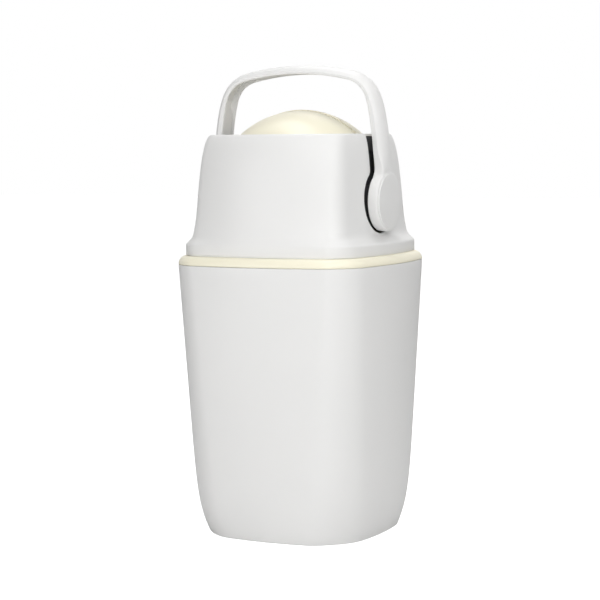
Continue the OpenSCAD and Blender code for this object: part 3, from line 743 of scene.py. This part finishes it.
# %% The inserts
strip_foot, strip_end, slant_length = pivot_z + 41, arm_top[1] + 6, 22
strip_front, strip_rear, slant_cut = -strap_hw + CHANNEL_LIP + 0.2, 7.0, 17.0
strip_deep, strip_sunk, strip_edge = 5.6, 0.3, 0.5


def insert_strip(side, word):
    rings = []
    points = [p for p in half_line if strip_foot < p[1] < strip_end]
    for (x, z), (nx, nz) in zip(points, station_normals(points)):
        slant = ease((z - (strip_end - slant_length)) / slant_length)
        y0, y1, top = strip_front, strip_rear - slant_cut * slant, thickness(z)
        section = [(y0, strip_deep), (y1, strip_deep), (y1, strip_sunk + strip_edge),
                   (y1 - strip_edge, strip_sunk), (y0 + strip_edge, strip_sunk),
                   (y0, strip_sunk + strip_edge)]
        rings.append([(side * (x + nx * (top - d)), y, z + nz * (top - d)) for y, d in section])
    strip = grow_skin("arm_insert_strip_" + word, rings)
    smooth(strip, 30)
    finish_piece(strip, "drum", "white_plastic", "arm_insert_" + word)


for side, word in SIDES:
    insert_strip(side, word)

# %% [markdown]
# ## The hinge at the rear
# Three kinds of knuckle share one steel pin: the head's in the middle, then the ring's, then the
# body's. Each is a short tube on an arm. The tube is a cylinder with a bore, and the arm is a flat
# outline pushed sideways; both are joined and their edges softened.

# %% Knuckles for the body, the ring and the head
hinge_y, hinge_z = body_half + 8.0, ring_top
knuckle_r, knuckle_len, pin_r, pin_play = 6.5, 10.0, 2.5, 0.1
flange_y = body_half - flange_inset
# where the arm's outline meets its tube: just inside the tube's rear, front, foot and top
tube_rear, tube_front = hinge_y + knuckle_r - 0.1, hinge_y - knuckle_r + 0.1
tube_foot, tube_top = hinge_z - knuckle_r + 0.1, hinge_z + knuckle_r - 0.1
# for each body, the tube's place from the middle, its finish, and the arm's outline in Y and Z
arms = {
    "bin": (32.8, "white_plastic", [
        (body_half - 4, body_h - 36), (hinge_y + 0.5, body_h - 8), (tube_rear, hinge_z),
        (tube_front, hinge_z), (body_half + 1, body_h - 2), (body_half - 2, body_h - 12)]),
    "ring": (22.4, "cream_plastic", [
        (flange_y - 6, ring_top - 0.1), (flange_y - 6, ring_top - 5), (body_half - 2, body_h + 2),
        (hinge_y, tube_foot), (hinge_y, hinge_z)]),
    "head": (12.0, "white_plastic", [
        (flange_y - 1.5, ring_top + 8), (flange_y - 1.5, ring_top + 0.4),
        (tube_front, hinge_z + 0.4), (hinge_y, hinge_z), (hinge_y, tube_top)]),
}
ROD_STEPS = 48


def knuckle(body, side, word):
    middle, slot, outline = arms[body]
    x0, x1 = side * middle - knuckle_len / 2, side * middle + knuckle_len / 2
    piece = prism_x("%s_knuckle_%s" % (body, word), outline, x0, x1)
    for r, past, how in ((knuckle_r, 0.0, "UNION"), (pin_r + pin_play, 2.0, "DIFFERENCE")):
        rod = prism_x("rod", circle(r, ROD_STEPS, hinge_y, hinge_z), x0 - past, x1 + past)
        carve(piece, rod, how)
    soften(piece, 0.5, 2, 50)
    smooth(piece, 35)
    finish_piece(piece, body, slot)


for side, word in SIDES:
    for body in arms:
        knuckle(body, side, word)

# %% [markdown]
# ## Finishes
# The shells are injection-moulded plastic with a fine satin grain: under a millimetre across, and
# so shallow that it only softens the gloss. Two noises on Object coordinates drive it. A slow one
# shifts tint and gloss a little, as moulded parts show, and a fine one gives the grain. The same
# recipe, with other colours and gloss, serves the rubber seals, the acetal bushes and the steel.

# %% A moulded plastic
def sockets(shader, **values):
    for name, value in values.items():
        shader.inputs[name.replace("_", " ")].default_value = value


PLASTIC_IOR, GLOSS_SWING, GRAIN_DEPTH = 1.46, 0.05, 0.0004


def moulded(name, colour, tint, rough, grain=0.05, size=1400.0, metallic=0.0):
    """A finish that drifts from colour to tint, with grain of a size in ripples a metre."""
    finish = bpy.data.materials.new(name)
    finish.use_nodes = True
    tree = finish.node_tree
    shader = tree.nodes["Principled BSDF"]
    sockets(shader, Metallic=metallic, IOR=PLASTIC_IOR)
    place = tree.nodes.new("ShaderNodeTexCoord")
    slow = tree.nodes.new("ShaderNodeTexNoise")
    sockets(slow, Scale=9.0, Detail=3.0, Roughness=0.5)
    fine = tree.nodes.new("ShaderNodeTexNoise")
    sockets(fine, Scale=size, Detail=2.0, Roughness=0.6)
    shade = tree.nodes.new("ShaderNodeMix")
    shade.data_type = "RGBA"
    sockets(shade, A=(*colour, 1), B=(*tint, 1))
    gloss = tree.nodes.new("ShaderNodeMapRange")
    sockets(gloss, To_Min=rough - GLOSS_SWING, To_Max=rough + GLOSS_SWING)
    bump = tree.nodes.new("ShaderNodeBump")
    sockets(bump, Strength=grain, Distance=GRAIN_DEPTH)
    for texture in (slow, fine):
        tree.links.new(place.outputs["Object"], texture.inputs["Vector"])
    tree.links.new(slow.outputs["Fac"], shade.inputs["Factor"])
    tree.links.new(slow.outputs["Fac"], gloss.inputs["Value"])
    tree.links.new(fine.outputs["Fac"], bump.inputs["Height"])
    tree.links.new(shade.outputs["Result"], shader.inputs["Base Color"])
    tree.links.new(gloss.outputs["Result"], shader.inputs["Roughness"])
    tree.links.new(bump.outputs["Normal"], shader.inputs["Normal"])
    return finish

# %% The finishes by slot
finishes = {
    "white_plastic": moulded("satin white", (0.80, 0.80, 0.79), (0.83, 0.825, 0.815), 0.42),
    "cream_plastic": moulded("satin cream", (0.92, 0.88, 0.70), (0.94, 0.895, 0.725), 0.36),
    "chamber_plastic": moulded("chamber white", (0.76, 0.76, 0.75), (0.79, 0.79, 0.78), 0.5),
    "dark_plastic": moulded("dark plastic", (0.045, 0.045, 0.047), (0.055, 0.055, 0.057), 0.6),
    "acetal": moulded("acetal", (0.70, 0.71, 0.72), (0.74, 0.74, 0.74), 0.3),
    "rubber": moulded("seal rubber", (0.02, 0.02, 0.02), (0.03, 0.03, 0.03), 0.7,
                      grain=0.12, size=900.0),
    "steel": moulded("turned steel", (0.50, 0.51, 0.52), (0.58, 0.58, 0.59), 0.32,
                     grain=0.04, size=2000.0, metallic=1.0),
}


def dress(piece, slot):
    piece.data.materials.clear()
    piece.data.materials.append(finishes[slot])


for row in frame["record"]["subparts"]:
    dress(frame["nodes"][row["node"]], row["material_slot"])
for piece in bpy.data.objects:
    if piece.type == "MESH" and piece.get("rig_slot"):
        dress(piece, piece["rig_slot"])
print("finishes:", ", ".join(finishes))

# %% [markdown]
# ## Floor, light and camera
# A pale floor and a white world give a plain studio. The world is white only for rays that come
# straight from the camera, off gloss or through glass, and hardly lights the bin itself. The floor
# glows only for the camera, so that it runs into the background. The light on the bin comes from
# seven broad softboxes: two by the camera, two to the right, one low on the left, one above and
# one behind. A white shell shows its form by how gently the light falls off from side to side.

# %% The floor
FLOOR_SIZE, FLOOR_COLOUR = 24, (0.93, 0.93, 0.93, 1)


def floor_finish():
    finish = bpy.data.materials.new("pale floor")
    finish.use_nodes = True
    tree = finish.node_tree
    shader = tree.nodes["Principled BSDF"]
    sockets(shader, Base_Color=FLOOR_COLOUR, Roughness=0.9, Specular_IOR_Level=0.1)
    glow = tree.nodes.new("ShaderNodeEmission")
    add = tree.nodes.new("ShaderNodeAddShader")
    rays = tree.nodes.new("ShaderNodeLightPath")
    tree.links.new(rays.outputs["Is Camera Ray"], glow.inputs["Strength"])
    tree.links.new(shader.outputs[0], add.inputs[0])
    tree.links.new(glow.outputs[0], add.inputs[1])
    tree.links.new(add.outputs[0], tree.nodes["Material Output"].inputs["Surface"])
    return finish


clear_selection()
bpy.ops.mesh.primitive_plane_add(size=FLOOR_SIZE, location=(0, 0, 0))
floor = bpy.context.object
floor.name = "floor"
floor.data.materials.append(floor_finish())
print("floor", tuple(floor.dimensions))

# %% The world
AMBIENT = 0.04
world = bpy.data.worlds.new("studio")
bpy.context.scene.world = world
world.use_nodes = True
sky = world.node_tree
backdrop = sky.nodes["Background"]
sockets(backdrop, Color=(1, 1, 1, 1))
rays = sky.nodes.new("ShaderNodeLightPath")
level = sky.nodes.new("ShaderNodeMapRange")
sockets(level, To_Min=AMBIENT, To_Max=1.0)
seen = rays.outputs["Is Camera Ray"]
for kind in ("Is Glossy Ray", "Is Transmission Ray"):
    either = sky.nodes.new("ShaderNodeMath")
    either.operation = "MAXIMUM"
    sky.links.new(seen, either.inputs[0])
    sky.links.new(rays.outputs[kind], either.inputs[1])
    seen = either.outputs[0]
sky.links.new(seen, level.inputs["Value"])
sky.links.new(level.outputs["Result"], backdrop.inputs["Strength"])
print("the world lights the bin at", AMBIENT)

# %% The camera
SENSOR = 36
azimuth, pitch, roll = math.radians(26.911), math.radians(4.886), math.radians(0.522)
distance, eye_height, aside = 2.293, 0.4783, 0.00286
focal_pixels, frame_pixels = 1869.9, 600
right = Vector((math.cos(azimuth), math.sin(azimuth), 0))
inward = Vector((-math.sin(azimuth), math.cos(azimuth), 0))
ahead = inward * math.cos(pitch) - Vector((0, 0, math.sin(pitch)))
up = inward * math.sin(pitch) + Vector((0, 0, math.cos(pitch)))
level_right = right * math.cos(roll) - up * math.sin(roll)
level_up = right * math.sin(roll) + up * math.cos(roll)
camera = bpy.data.cameras.new("camera")
camera.sensor_width = SENSOR
camera.lens = SENSOR * focal_pixels / frame_pixels
eye = bpy.data.objects.new("camera", camera)
bpy.context.scene.collection.objects.link(eye)
facing = Matrix((level_right, level_up, -ahead)).transposed().to_4x4()
place = -inward * distance - right * aside + Vector((0, 0, eye_height))
eye.matrix_world = Matrix.Translation(place) @ facing
bpy.context.scene.camera = eye
print("lens %.1f mm at %.2f m" % (camera.lens, distance))

# %% The lamps
BIN_MIDDLE = Vector((0, 0, 0.28))
SOFTBOX_AWAY, SOFTBOX_SIZE = 2.6, 1.2


def softbox(name, turn, rise, watts):
    """A round lamp aimed at the bin, turned from the front to the right and raised, by degrees."""
    turn, rise = math.radians(turn), math.radians(rise)
    outwards = Vector((math.sin(turn) * math.cos(rise), -math.cos(turn) * math.cos(rise),
                       math.sin(rise)))
    lamp = bpy.data.lights.new(name, "AREA")
    lamp.shape = "DISK"
    lamp.size = SOFTBOX_SIZE
    lamp.energy = watts
    holder = bpy.data.objects.new(name, lamp)
    bpy.context.scene.collection.objects.link(holder)
    holder.location = BIN_MIDDLE + outwards * SOFTBOX_AWAY
    holder.rotation_euler = (-outwards).to_track_quat("-Z", "Y").to_euler()
    print(name, "at", tuple(round(c, 2) for c in holder.location), watts, "W")


softbox("key softbox", 29, 30, 13)
softbox("right softbox", 60, 30, 15)
softbox("low right softbox", 30, 5, 10)
softbox("low left softbox", -26, 5, 15)
softbox("high right softbox", 100, 60, 10)
softbox("top softbox", 0, 90, 20)
softbox("back softbox", -153, 58, 12)

# %% View settings
bpy.context.scene.view_settings.view_transform = "Standard"
